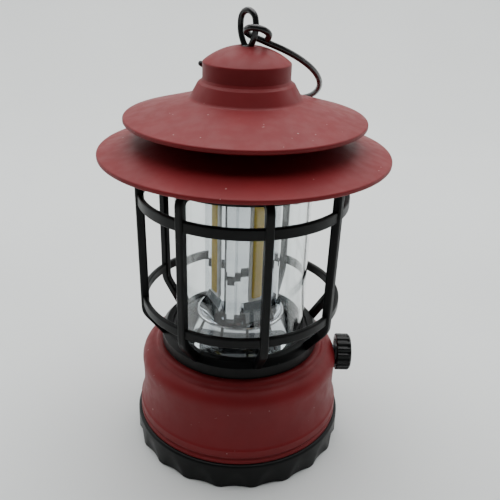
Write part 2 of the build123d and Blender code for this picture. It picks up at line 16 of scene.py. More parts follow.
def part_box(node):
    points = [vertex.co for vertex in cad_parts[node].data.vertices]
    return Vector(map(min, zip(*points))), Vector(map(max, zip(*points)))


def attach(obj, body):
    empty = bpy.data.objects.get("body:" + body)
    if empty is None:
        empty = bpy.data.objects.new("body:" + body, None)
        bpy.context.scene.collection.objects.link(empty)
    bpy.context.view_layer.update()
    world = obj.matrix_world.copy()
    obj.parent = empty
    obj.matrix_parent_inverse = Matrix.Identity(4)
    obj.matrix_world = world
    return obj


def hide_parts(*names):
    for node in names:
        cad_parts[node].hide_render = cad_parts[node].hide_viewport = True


bl_info = {
    "name": "Camping lantern",
    "version": (1, 0, 0),
    "blender": (4, 5, 0),
    "location": "3D View > Sidebar > Lantern",
    "description": "Makes the visible pieces of a battery camping lantern round its CAD frame",
    "category": "Object",
}

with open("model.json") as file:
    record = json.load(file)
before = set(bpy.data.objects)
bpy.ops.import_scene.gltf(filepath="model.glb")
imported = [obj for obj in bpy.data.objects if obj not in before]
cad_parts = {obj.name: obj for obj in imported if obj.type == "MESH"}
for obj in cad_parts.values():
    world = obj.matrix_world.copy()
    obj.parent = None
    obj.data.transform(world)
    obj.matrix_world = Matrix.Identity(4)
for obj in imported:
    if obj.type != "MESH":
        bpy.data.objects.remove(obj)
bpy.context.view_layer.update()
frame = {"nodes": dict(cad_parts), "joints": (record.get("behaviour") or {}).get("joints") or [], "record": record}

MM = 0.001
TURN_STEPS = 288
CORNER_STEPS = 6
SUPPORT = 0.12


def corner(name):
    """A CAD node's lowest and highest corner at rest, in millimetres."""
    low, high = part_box(name)
    return np.array(low) / MM, np.array(high) / MM


def outer_radius(name):
    """The radius of a round CAD node about the lantern's axis, in millimetres."""
    low, high = corner(name)
    return float(max(-low[0], high[0], -low[1], high[1]))


# ---------------------------------------------------------------- colours and nodes


def linear(code):
    """An sRGB hex colour as linear red, green, blue and alpha."""
    parts = [int(code[i:i + 2], 16) / 255 for i in (1, 3, 5)]
    return [c / 12.92 if c <= 0.04045 else ((c + 0.055) / 1.055) ** 2.4 for c in parts] + [1.0]


class LanternColours(bpy.types.PropertyGroup):
    """The colours of the plastic, the light strips and the backdrop."""

    red: bpy.props.FloatVectorProperty(
        name="Red plastic", description="Colour of the base and the two roofs", subtype="COLOR",
        size=4, min=0, max=1, default=linear("#74161b"))
    black: bpy.props.FloatVectorProperty(
        name="Black plastic", description="Colour of the foot, cage, collar and knob", subtype="COLOR",
        size=4, min=0, max=1, default=linear("#080909"))
    phosphor: bpy.props.FloatVectorProperty(
        name="Light strips", description="Colour of the silicone over the light strips, unlit",
        subtype="COLOR", size=4, min=0, max=1, default=linear("#f2cf55"))
    backdrop: bpy.props.FloatVectorProperty(
        name="Backdrop", description="Colour of the paper that the lantern stands on", subtype="COLOR",
        size=4, min=0, max=1, default=linear("#dde0df"))


class LanternSizes(bpy.types.PropertyGroup):
    """Small sizes that are free to change without leaving the CAD shape."""

    rim_radius: bpy.props.FloatProperty(
        name="Brim edge radius", description="Rounding along the roofs' outer edges", unit="LENGTH",
        default=0.7 * MM, min=0.2 * MM, max=0.85 * MM)
    scallops: bpy.props.IntProperty(
        name="Scallops", description="Number of hollows round the foot ring", default=20, min=8, max=40)
    scallop_depth: bpy.props.FloatProperty(
        name="Scallop depth", description="Depth of the foot ring's hollows at the floor", unit="LENGTH",
        default=1.3 * MM, min=0.5 * MM, max=2 * MM)
    flutes: bpy.props.IntProperty(
        name="Knob flutes", description="Number of finger flutes round the knob", default=18, min=8, max=36)
    grain: bpy.props.FloatProperty(
        name="Plastic grain", description="Spacing of the fine grain in the moulded plastic", unit="LENGTH",
        default=0.45 * MM, min=0.1 * MM, max=2 * MM)


def add_node(tree, kind, links=(), **settings):
    """Adds a node, sets its settings, and fills or links its inputs from a mapping of socket to value."""
    made = tree.nodes.new(kind)
    for key, value in settings.items():
        setattr(made, key, value)
    for socket, source in dict(links).items():
        if isinstance(source, bpy.types.NodeSocket):
            tree.links.new(source, made.inputs[socket])
        else:
            made.inputs[socket].default_value = source
    return made


def new_material(name):
    """An empty material with its shader and output, and the object-coordinates socket for its patterns."""
    material = bpy.data.materials.new(name)
    material.use_nodes = True
    tree = material.node_tree
    tree.nodes.clear()
    shader = add_node(tree, "ShaderNodeBsdfPrincipled")
    add_node(tree, "ShaderNodeOutputMaterial", {"Surface": shader.outputs[0]})
    place = add_node(tree, "ShaderNodeTexCoord").outputs["Object"]
    return material, tree, shader, place


def pattern(tree, place, spacing_mm, detail=2.0, stretch=(1, 1, 1), window=None, out=(0.0, 1.0)):
    """A cloudy pattern whose lumps are about spacing_mm apart, stretched along the axes if asked.

    window gives the part of the noise that is drawn out, smoothly and clamped, over the range out.
    """
    moved = add_node(tree, "ShaderNodeMapping", {"Vector": place, "Scale": stretch})
    lumps = add_node(tree, "ShaderNodeTexNoise", {
        "Vector": moved.outputs[0], "Scale": 1 / (spacing_mm * MM), "Detail": detail}).outputs[0]
    if window is None:
        return lumps
    return add_node(tree, "ShaderNodeMapRange", {
        0: lumps, 1: window[0], 2: window[1], 3: out[0], 4: out[1]}, interpolation_type="SMOOTHSTEP").outputs[0]


def tint(tree, shader, factor, first, second, speck=None):
    """Colours the shader between two tones by a pattern; speck is a second pattern and the tone it lays over."""
    tone = add_node(tree, "ShaderNodeMix", {0: factor, 6: first, 7: second}, data_type="RGBA").outputs[2]
    if speck:
        tone = add_node(tree, "ShaderNodeMix", {0: speck[0], 6: tone, 7: speck[1]}, data_type="RGBA").outputs[2]
    tree.links.new(tone, shader.inputs["Base Color"])


def relief(tree, shader, height, strength, depth_mm):
    """Gives the shader the bumps of a pattern."""
    bump = add_node(tree, "ShaderNodeBump", {"Height": height, "Strength": strength, "Distance": depth_mm * MM})
    tree.links.new(bump.outputs[0], shader.inputs["Normal"])


def darker(colour, share):
    """A linear colour with its red, green and blue scaled."""
    return [c * share for c in colour[:3]] + [1]


def moulded_plastic(name, colour, shade, roughness, grain, bump, gloss, dust):
    """Injection-moulded plastic from a finely spark-eroded tool.

    The colour drifts a little over centimetres, the roughness over millimetres, and a fine grain
    breaks up the highlight.  dust is the strength of sparse pale specks, as on a piece that has been
    handled.  The real grain is a few hundredths of a millimetre, and is drawn coarser so that it shows.
    """
    material, tree, shader, place = new_material(name)
    drift = pattern(tree, place, 24, 3, window=(0.35, 0.65))
    speck = None
    if dust:
        speck = pattern(tree, place, 1.7, 1, window=(0.775, 0.81), out=(0, dust)), linear("#c9b3ae")
    tint(tree, shader, drift, list(colour), darker(colour, shade), speck)
    rub = pattern(tree, place, 5, 4, window=(0.3, 0.7), out=(roughness - 0.05, roughness + 0.06))
    tree.links.new(rub, shader.inputs["Roughness"])
    relief(tree, shader, pattern(tree, place, grain / MM, 2), bump, 0.05)
    shader.inputs["Specular IOR Level"].default_value = gloss
    return material


def red_abs(colours, sizes):
    """Satin moulded ABS: an even brick red with a broad soft highlight."""
    return moulded_plastic(
        "satin moulded ABS red", colours.red, 0.9, 0.50, sizes.grain, bump=0.12, gloss=0.24, dust=0.4)


def black_abs(colours, sizes):
    """Satin moulded ABS in black: nearly even, with a slightly greyer rub along its faces."""
    return moulded_plastic(
        "satin moulded ABS black", colours.black, 1.4, 0.38, sizes.grain, bump=0.15, gloss=0.16, dust=0.06)


def knob_abs(colours, sizes):
    """Harder gloss moulded ABS: the knob's flutes catch narrow highlights."""
    return moulded_plastic(
        "gloss moulded ABS black", colours.black, 1.3, 0.28, sizes.grain, bump=0.12, gloss=0.25, dust=0)


def clear_styrene():
    """Clear moulded polystyrene: clean to look through, dark at its edges, with faint flow ripples."""
    material, tree, shader, place = new_material("clear moulded polystyrene")
    shader.inputs["Base Color"].default_value = linear("#f7fafa")
    shader.inputs["Transmission Weight"].default_value = 1.0
    shader.inputs["IOR"].default_value = 1.5
    haze = pattern(tree, place, 9, 3, (1, 1, 0.25), (0.45, 0.75), (0.0, 0.05))
    tree.links.new(haze, shader.inputs["Roughness"])
    relief(tree, shader, pattern(tree, place, 14, 1, (1, 1, 0.15)), 0.06, 0.3)
    return material


def chromed_abs():
    """Vacuum-chromed ABS: a bright mirror, softened by the slight waviness of the plastic under it."""
    material, tree, shader, place = new_material("vacuum chromed ABS")
    shader.inputs["Metallic"].default_value = 1.0
    tint(tree, shader, pattern(tree, place, 12, 2, window=(0.3, 0.7)), linear("#e4e6e8"), linear("#d3d6da"))
    haze = pattern(tree, place, 4, 3, window=(0.4, 0.8), out=(0.03, 0.10))
    tree.links.new(haze, shader.inputs["Roughness"])
    relief(tree, shader, pattern(tree, place, 7, 1, (1, 1, 0.4)), 0.12, 0.25)
    return material


def phosphor_gel(colours):
    """Silicone filled with yellow phosphor, poured in a strip: opaque mustard, soft gloss, tiny grains."""
    material, tree, shader, place = new_material("phosphor silicone")
    grain = pattern(tree, place, 0.5, 2, window=(0.35, 0.65))
    tint(tree, shader, grain, list(colours.phosphor), darker(colours.phosphor, 0.84))
    shader.inputs["Roughness"].default_value = 0.34
    shader.inputs["Subsurface Weight"].default_value = 0.2
    shader.inputs["Subsurface Radius"].default_value = (0.0012, 0.0007, 0.0002)
    relief(tree, shader, pattern(tree, place, 0.8, 2), 0.3, 0.08)
    return material


def dipped_wire():
    """Steel wire dipped in black enamel: dark gloss with small runs that follow no direction."""
    material, tree, shader, place = new_material("black dipped steel wire")
    tint(tree, shader, pattern(tree, place, 3, 4, window=(0.62, 0.78)), linear("#0c0c0d"), linear("#2b2b2c"))
    gloss = pattern(tree, place, 2, 3, window=(0.3, 0.7), out=(0.16, 0.30))
    tree.links.new(gloss, shader.inputs["Roughness"])
    relief(tree, shader, pattern(tree, place, 3.0, 2), 0.15, 0.08)
    return material


def two_tone(name, light, dark, roughness, spacing_mm, metallic):
    """A surface in two close tones, whose patches also shift its roughness.

    On plated steel they are soft-edged crystals or drawing marks.  On a lacquered, printed or moulded
    part they are small patches under an even skin, which also stand a little proud.
    """
    material, tree, shader, place = new_material(name)
    detail, edge, spread = (4, 0.15, 0.15) if metallic else (3, 0.08, 0.08)
    patch = pattern(tree, place, spacing_mm, detail, window=(0.5 - edge, 0.5 + edge))
    tint(tree, shader, patch, linear(light), linear(dark))
    shader.inputs["Metallic"].default_value = 1.0 if metallic else 0.0
    rough = add_node(tree, "ShaderNodeMapRange", {
        0: patch, 1: 0, 2: 1, 3: roughness, 4: roughness + spread}, interpolation_type="SMOOTHSTEP")
    tree.links.new(rough.outputs[0], shader.inputs["Roughness"])
    if not metallic:
        relief(tree, shader, patch, 0.1, 0.03)
    return material


def backdrop_paper(colours):
    """Matt paper: nearly even, with faint broad clouds."""
    material, tree, shader, place = new_material("matt backdrop paper")
    cloud = pattern(tree, place, 180, 2, window=(0.3, 0.7))
    tint(tree, shader, cloud, list(colours.backdrop), darker(colours.backdrop, 0.97))
    shader.inputs["Roughness"].default_value = 0.9
    return material


FINISHES = {}


def finish_for(context, slot):
    """The material for one of the record's slots, from the set that is made on first use."""
    colours, sizes = context.scene.lantern_colours, context.scene.lantern_sizes
    if not FINISHES:
        FINISHES.update({
            "red_plastic": red_abs(colours, sizes),
            "black_plastic": black_abs(colours, sizes),
            "knob_plastic": knob_abs(colours, sizes),
            "clear_plastic": clear_styrene(),
            "chromed_plastic": chromed_abs(),
            "led_phosphor": phosphor_gel(colours),
            "black_wire": dipped_wire(),
            "zinc_steel": two_tone("zinc plated steel", "#bfc1c2", "#8f9193", 0.28, 1.2, metallic=True),
            "spring_strip": two_tone("nickel plated strip", "#cfcbc2", "#aeaaa0", 0.2, 2.5, metallic=True),
            "led_board": two_tone("white lacquered aluminium", "#eceae4", "#dfddd6", 0.35, 3, metallic=False),
            "battery_sleeve": two_tone("printed shrink sleeve", "#2b3036", "#3a4148", 0.25, 9, metallic=False),
            "dimmer_case": two_tone("moulded phenolic", "#20242e", "#2a2f3b", 0.45, 2, metallic=False),
            "circuit_laminate": two_tone("solder mask on laminate", "#1c5a33", "#2a7043", 0.3, 1.5, metallic=False),
            "lead_insulation": two_tone("PVC insulation", "#8c1616", "#7a1212", 0.4, 2, metallic=False),
            "seal_rubber": two_tone("silicone rubber", "#1c1c1d", "#262627", 0.6, 1, metallic=False),
        })
    return FINISHES[slot]


# ---------------------------------------------------------------- outlines


def rounded(points, radii, closed=True):
    """An outline of straight runs with its corners rounded.

    At each corner of radius r the two runs are cut back by r divided by the tangent of half the
    inner angle, and an arc about the point where both cut-back normals meet joins them.  A support
    point stands just outside each arc so that flat runs shade flat.
    """
    points = np.asarray(points, float)
    out = []
    count = len(points)
    for i, (here, radius) in enumerate(zip(points, radii)):
        if radius <= 0 or (not closed and i in (0, count - 1)):
            out.append(here[None])
            continue
        before, after = points[i - 1] - here, points[(i + 1) % count] - here
        reach_in, reach_out = np.linalg.norm(before), np.linalg.norm(after)
        before, after = before / reach_in, after / reach_out
        half = math.acos(float(np.clip(before @ after, -1, 1))) / 2
        cut = min(radius / math.tan(half), 0.49 * reach_in, 0.49 * reach_out)
        radius = cut * math.tan(half)
        centre = here + (before + after) / np.linalg.norm(before + after) * radius / math.sin(half)
        start, end = here + before * cut, here + after * cut
        a0 = math.atan2(*(start - centre)[::-1])
        sweep = (math.atan2(*(end - centre)[::-1]) - a0 + math.pi) % (2 * math.pi) - math.pi
        angles = a0 + sweep * np.linspace(0, 1, CORNER_STEPS + 1)
        arc = centre + radius * np.stack([np.cos(angles), np.sin(angles)], 1)
        margin = min(SUPPORT, 0.2 * cut + 0.01)
        room_in = margin if reach_in - cut > 2 * margin else 0
        room_out = margin if reach_out - cut > 2 * margin else 0
        if room_in:
            out.append((start + before * room_in)[None])
        out.append(arc)
        if room_out:
            out.append((end + after * room_out)[None])
    return np.vstack(out)


def arc_through(first, middle, last, steps=14):
    """Points on the circle through three points, from the first to the last by way of the middle one."""
    (ax, ay), (bx, by), (cx, cy) = first, middle, last
    d = 2 * (ax * (by - cy) + bx * (cy - ay) + cx * (ay - by))
    a2, b2, c2 = ax * ax + ay * ay, bx * bx + by * by, cx * cx + cy * cy
    centre = np.array([(a2 * (by - cy) + b2 * (cy - ay) + c2 * (ay - by)) / d,
                       (a2 * (cx - bx) + b2 * (ax - cx) + c2 * (bx - ax)) / d])
    radius = math.hypot(ax - centre[0], ay - centre[1])
    a, b, c = (math.atan2(y - centre[1], x - centre[0]) for x, y in (first, middle, last))
    turn = (c - a) % (2 * math.pi)
    if (b - a) % (2 * math.pi) > turn:
        turn -= 2 * math.pi
    angles = a + turn * np.linspace(0, 1, steps)
    return centre + radius * np.stack([np.cos(angles), np.sin(angles)], 1)


def traced(start, heading, moves, step=0.7):
    """A path drawn by moves from a start point and heading: ("run", length) or ("bend", radius, degrees)."""
    here, angle = np.array(start, float), math.radians(heading)
    out = [here[None]]
    for kind, *sizes in moves:
        if kind == "run":
            count = max(2, int(sizes[0] / step))
            reach = np.linspace(0, sizes[0], count + 1)[1:, None]
            leg = here + reach * np.array([math.cos(angle), math.sin(angle)])
        else:
            radius, turn = sizes[0], math.radians(sizes[1])
            side = math.copysign(1, turn)
            centre = here + radius * side * np.array([-math.sin(angle), math.cos(angle)])
            count = max(6, int(radius * abs(turn) / step))
            angles = angle + turn * np.linspace(0, 1, count + 1)[1:]
            leg = centre + radius * side * np.stack([np.sin(angles), -np.cos(angles)], 1)
            angle += turn
        out.append(leg)
        here = leg[-1]
    return np.vstack(out)


# ---------------------------------------------------------------- surfaces


def fill_mesh(name, points, faces, smooth=True, weld=False):
    """An object filled from an array of points in millimetres and a list of faces, at the origin."""
    mesh = bpy.data.meshes.new(name)
    mesh.from_pydata((np.asarray(points, float) * MM).tolist(), [], faces)
    if weld:
        work = bmesh.new()
        work.from_mesh(mesh)
        bmesh.ops.remove_doubles(work, verts=work.verts, dist=0.001 * MM)
        work.to_mesh(mesh)
        work.free()
    mesh.validate()
    mesh.polygons.foreach_set("use_smooth", [smooth] * len(mesh.polygons))
    made = bpy.data.objects.new(name, mesh)
    bpy.context.scene.collection.objects.link(made)
    return made


def grid_faces(rows, columns, wrap_rows=False):
    """Quads of a grid whose columns close on themselves, and whose rows do if asked."""
    i = np.arange(rows if wrap_rows else rows - 1)[:, None]
    j = np.arange(columns)[None]
    k, m = (i + 1) % rows, (j + 1) % columns
    quads = np.stack([i * columns + j, i * columns + m, k * columns + m, k * columns + j], -1)
    return quads.reshape(-1, 4).tolist()


def lathe(name, outline, change=None, steps=TURN_STEPS, axis="Z", weld=False):
    """A turned surface: the closed outline (radius, height) is carried once round the axis.

    The point for outline place i and angle t is (r cos t, r sin t, h), where r may first be changed
    by change(r, h, t), given and giving whole arrays.
    """
    t = np.linspace(0, 2 * math.pi, steps, endpoint=False)[None]
    r, h = outline[:, :1] + 0 * t, outline[:, 1:] + 0 * t
    if change:
        r = change(r, h, t)
    points = np.stack([r * np.cos(t), r * np.sin(t), h], -1).reshape(-1, 3)
    if axis == "X":
        points = points[:, [2, 0, 1]]
    return fill_mesh(name, points, grid_faces(len(outline), steps, True), weld=weld)


def carried(name, section, path, origin, right, up, caps=True, round_ends=0.0):
    """A section carried along a flat path.

    The path lies in the plane of right and up through origin.  At each of its points the section's
    first coordinate is laid along the path's left normal and its second along the plane's normal.
    round_ends closes the ends as half balls of that radius, by shrinking the section on its way out.
    """
    right, up = np.array(right, float), np.array(up, float)
    right, up = right / np.linalg.norm(right), up / np.linalg.norm(up)
    normal = np.cross(right, up)
    way = np.gradient(path, axis=0)
    way /= np.linalg.norm(way, axis=1)[:, None]
    scale = np.ones(len(path))
    if round_ends:
        lift = np.linspace(0, math.pi / 2, 7)[1:]
        sizes = np.maximum(np.cos(lift), 0.02)
        head = path[:1] - way[:1] * (round_ends * np.sin(lift))[::-1, None]
        tail = path[-1:] + way[-1:] * (round_ends * np.sin(lift))[:, None]
        path = np.vstack([head, path, tail])
        way = np.vstack([np.repeat(way[:1], len(lift), 0), way, np.repeat(way[-1:], len(lift), 0)])
        scale = np.concatenate([sizes[::-1], scale, sizes])
    left = np.stack([-way[:, 1], way[:, 0]], 1)
    flat = path[:, None] + left[:, None] * (section[None, :, :1] * scale[:, None, None])
    out = section[None, :, 1:] * scale[:, None, None]
    points = np.array(origin) + flat[..., :1] * right + flat[..., 1:] * up + out * normal
    columns, rows = len(section), len(path)
    faces = grid_faces(rows, columns)
    if caps:
        faces.append(list(range(columns))[::-1])
        faces.append([(rows - 1) * columns + j for j in range(columns)])
    return fill_mesh(name, points.reshape(-1, 3), faces)


def pad(name, half_width, half_length, thickness, corner_radius, origin, right, up, crown=8.0, rings=18):
    """A thin pad with a softly rounded top, such as a poured strip.

    A rounded rectangle is shrunk towards its middle by s from 1 to 0, and the top stands at the
    thickness times the root of one minus s to the power crown.  The underside is flat.
    """
    w, l = half_width, half_length
    edge = rounded([(w, -l), (w, l), (-w, l), (-w, -l)], [corner_radius] * 4)
    right, up = np.array(right, float), np.array(up, float)
    out = np.cross(right, up)
    s = np.concatenate([[0.0, 1.0], np.linspace(1, 0, rings) ** 0.6])
    height = np.concatenate([[0.0, 0.0], thickness * np.sqrt(1 - s[2:] ** crown)])
    core = np.clip(l - w, 0, None)
    spine = np.stack([np.zeros(len(edge)), np.clip(edge[:, 1], -core, core)], 1)
    flat = spine[None] + (edge - spine)[None] * s[:, None, None]
    points = np.array(origin) + flat[..., :1] * right + flat[..., 1:] * up + height[:, None, None] * out
    return fill_mesh(name, points.reshape(-1, 3), grid_faces(len(s), len(edge)), weld=True)


def dress(context, piece, slot, body, replaced=(), material=None):
    """Gives a piece the finish of its slot, or of the material given instead, hangs it on the body that it rides
    on, and hides the CAD nodes that it stands for.
    """
    piece.data.materials.clear()
    piece.data.materials.append(finish_for(context, material or slot))
    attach(piece, body)
    if replaced:
        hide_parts(*replaced)
    return piece


# ---------------------------------------------------------------- operators

ROOF_SLOPE = 0.279
ROOF_WALL = 1.9
LIP = 1.8
LIP_DEPTH = 1.6


class LANTERN_OT_roofs(bpy.types.Operator):
    """Turn the two stacked roofs with their thin brims, the tier and the dome"""

    bl_idname = "lantern.roofs"
    bl_label = "Make the roofs"

    def execute(self, context):
        rim = context.scene.lantern_sizes.rim_radius / MM
        self.lower(context, rim)
        self.upper(context, rim)
        return {"FINISHED"}

    def lower(self, context, rim):
        """The wide lower brim: a shallow cone with a square lip and a short neck."""
        radius, foot = outer_radius("roof_lower"), 135.6
        neck_top = corner("roof_lower")[1][2]

        neck_in, neck_out, lip_in = 24.6, 26.8, radius - LIP_DEPTH

        def top(r):
            return foot + LIP + (radius - r) * ROOF_SLOPE

        outline = rounded(
            [(neck_in, top(neck_in) - ROOF_WALL), (lip_in, top(lip_in) - ROOF_WALL), (lip_in, foot),
             (radius, foot), (radius, foot + LIP), (neck_out, top(neck_out)), (neck_out, neck_top),
             (neck_in, neck_top)],
            [0.4, 0.5, 0.3, rim, rim, 1.2, 0.4, 0.4])
        made = lathe("lower_roof", outline)
        dress(context, made, "red_plastic", "lantern", ["roof_lower"])

    def upper(self, context, rim):
        """The upper brim, the flared tier, the upright drum and the dome, which is the cap of a ball."""
        radius, foot, apex = outer_radius("roof_upper"), 149.25, 178.4
        tier_r, drum_r, drum_top = 22.4, 17.4, 172.0
        tier_z = foot + LIP + (radius - tier_r) * ROOF_SLOPE
        lip_in = radius - LIP_DEPTH
        brim_under = foot + LIP + LIP_DEPTH * ROOF_SLOPE - ROOF_WALL
        rise = apex - drum_top
        ball = (drum_r ** 2 + rise ** 2) / (2 * rise)
        reach = np.linspace(16.4, 3.8, 22)
        dome = np.stack([reach, apex - ball + np.sqrt(ball ** 2 - reach ** 2)], 1)
        points = [(22.0, 144.6), (24.2, 144.6), (24.2, tier_z - 2.4), (lip_in, brim_under),
                  (lip_in, foot), (radius, foot), (radius, foot + LIP), (tier_r, tier_z),
                  (19.2, 164.1), (17.9, 164.9), (drum_r, 165.9), (drum_r, drum_top)]
        radii = [0.4, 0.4, 0.8, 0.5, 0.3, rim, rim, 2.2, 0.8, 0.6, 0.5, 0.8]
        points += [tuple(p) for p in dome]
        radii += [0] * len(dome)
        points += [(2.3, apex - 1.5), (2.3, apex - 1.9), (5.2, apex - 1.9), (9.8, apex - 3.6),
                   (15.2, 170.8), (15.2, 164.4), (17.4, 163.2), (20.0, tier_z), (22.0, 156.0)]
        radii += [0.3, 0.2, 0.5, 4, 2, 0.6, 0.5, 1, 0.5]
        made = lathe("upper_roof", rounded(points, radii))
        dress(context, made, "red_plastic", "lantern", ["roof_upper"])


class LANTERN_OT_base(bpy.types.Operator):
    """Turn the red base, the scalloped foot ring, the floor with its battery bay and the collar"""

    bl_idname = "lantern.base"
    bl_label = "Make the base"

    def execute(self, context):
        self.shell(context)
        self.foot(context)
        self.floor(context)
        self.collar(context)
        return {"FINISHED"}

    def shell(self, context):
        """The red shell: a grooved skirt, a waist of two parabolas, a round shoulder and a rolled neck."""
        neck_top = corner("base_body")[1][2]
        neck = 34.0
        waist_z = 29.5
        z = np.linspace(19.5, 38.0, 26)
        waist = 44.6 + np.where(z < waist_z, 0.013, 0.0042) * (z - waist_z) ** 2
        skirt = rounded(
            [(44.2, 12.2), (46.6, 12.2), (46.6, 13.9), (45.9, 14.5), (45.9, 15.1), (46.6, 15.8),
             (46.4, 18.8), (45.9, 19.5)], [0.2, 0.35, 0.4, 0.25, 0.25, 0.4, 0.45, 0], closed=False)
        shoulder = arc_through((44.9, 38.0), (43.9, 42.9), (40.6, 45.8))
        crease = arc_through((40.6, 45.8), (39.2, 46.2), (38.4, 46.9), 8)
        roll = arc_through((38.4, 46.9), (37.6, 48.1), (36.4, neck_top), 10)
        inside = rounded(
            [(36.4, neck_top), (neck, neck_top), (neck, 44.6), (38.0, 43.6), (42.9, 41.5), (42.7, 27.0),
             (44.2, 17.0), (44.2, 12.2)], [0, 0.3, 0.4, 3, 3, 4, 4, 0], closed=False)
        outline = np.vstack([skirt, np.stack([waist, z], 1)[1:], shoulder[1:], crease[1:], roll[1:],
                             inside[1:-1]])
        made = lathe("base_shell", outline)
        dress(context, made, "red_plastic", "lantern", ["base_body"])

    def foot(self, context):
        """The foot ring: its outer wall is the smaller of the ring's radius and each scallop's hollow.

        A scallop is a leaning cylinder, so at height h it cuts the plane in an ellipse whose near
        side stands at the ring's radius less the depth, and moves out as h rises.
        """
        sizes = context.scene.lantern_sizes
        count, depth = sizes.scallops, sizes.scallop_depth / MM
        ring, hollow, lean = 48.0, 22.0, math.atan(depth / 9.0)
        top = 12.2
        side = np.stack([np.full(30, ring), np.linspace(0.35, top - 1.3, 30)], 1)
        crown = arc_through((ring, top - 1.3), (ring - 0.38, top - 0.38), (ring - 1.3, top), 8)
        outline = np.vstack([
            [(41.2, 0.3), (41.5, 0.0), (ring - 0.35, 0.0)], side, crown[1:],
            rounded([(ring - 1.3, top), (43.9, top), (43.9, 15.2), (41.9, 15.2), (41.9, 5.0), (41.2, 5.0)],
                    [0, 0.2, 0.3, 0.3, 0.1, 0], closed=False)[1:]])

        def scallop(r, h, t):
            pitch = 2 * math.pi / count
            off = (t + pitch / 2) % pitch - pitch / 2
            wide = hollow / math.cos(lean)
            axis = ring - depth + wide + h * math.tan(lean)
            a = (np.cos(off) / wide) ** 2 + (np.sin(off) / hollow) ** 2
            b = -2 * axis * np.cos(off) / wide ** 2
            c = (axis / wide) ** 2 - 1
            wall = (-b - np.sqrt(np.maximum(b * b - 4 * a * c, 0))) / (2 * a)
            soft = 0.12
            limit = wall - soft * np.log1p(np.exp(np.clip((wall - ring) / soft, -50, 50)))
            return np.where(r > 46.0, np.minimum(r, limit - (ring - r) * 0.9), r)

        made = lathe("foot_ring", outline, scallop, steps=24 * count)
        dress(context, made, "black_plastic", "lantern", ["bottom_cover"])

    def floor(self, context):
        """The floor plate, open at the battery bay, with the bay's walls and ceiling.

        Each angle joins a point of the round edge to a point of the bay's rectangle.  The thumb
        scoop is a ball's cap pressed up into the plate beside the door's free end.
        """
        x, y, wall = 29.0, 24.0, 1.6
        under, upper, roof = 2.6, 5.0, 20.4
        t = np.linspace(0, 2 * math.pi, 360, endpoint=False)
        ray = np.stack([np.cos(t), np.sin(t)], 1)

        def frame_edge(half_x, half_y):
            reach = 1 / np.maximum(np.abs(ray[:, 0]) / half_x, np.abs(ray[:, 1]) / half_y)
            return ray * reach[:, None]

        inner, outer, rim = frame_edge(x, y), frame_edge(x + wall, y + wall), ray * 41.5
        plate = np.linspace(0, 1, 16)[:, None, None]
        spread_out = rim[None] * (1 - plate) + inner[None] * plate
        off = np.hypot(spread_out[..., 0] - x - 3, spread_out[..., 1])
        scoop = np.sqrt(np.maximum(6.4 ** 2 - off ** 2, 0)) - 5.0
        lift = under + np.maximum(scoop, 0)
        rows = [np.concatenate([spread_out, lift[..., None]], -1)]

        def row(ring, height):
            return np.column_stack([ring, np.full(len(ring), height)])[None]

        for ring, height in ((inner, roof), (inner * 0, roof), (inner * 0, roof + wall),
                             (outer, roof + wall), (outer, upper), (rim, upper)):
            rows.append(row(ring, height))
        points = np.concatenate(rows)
        faces = [face[::-1] for face in grid_faces(len(points), len(t), True)]
        made = fill_mesh("floor_and_bay", points.reshape(-1, 3), faces, smooth=False, weld=True)
        dress(context, made, "black_plastic", "lantern")

    def collar(self, context):
        """The black collar that holds the glass: a band with a sloped top, over a deck and a skirt."""
        outline = rounded(
            [(9, 49.0), (31.4, 49.0), (31.4, 45.2), (33.8, 45.2), (33.8, 48.4), (35.7, 48.4), (35.7, 53.6),
             (33.6, 56.0), (30.6, 56.0), (30.6, 51.0), (9, 51.0)],
            [0.3, 0.3, 0.3, 0.3, 0.2, 0.4, 0.6, 0.6, 0.3, 0.3, 0.3])
        made = lathe("glass_collar", outline)
        dress(context, made, "black_plastic", "lantern", ["collar"])


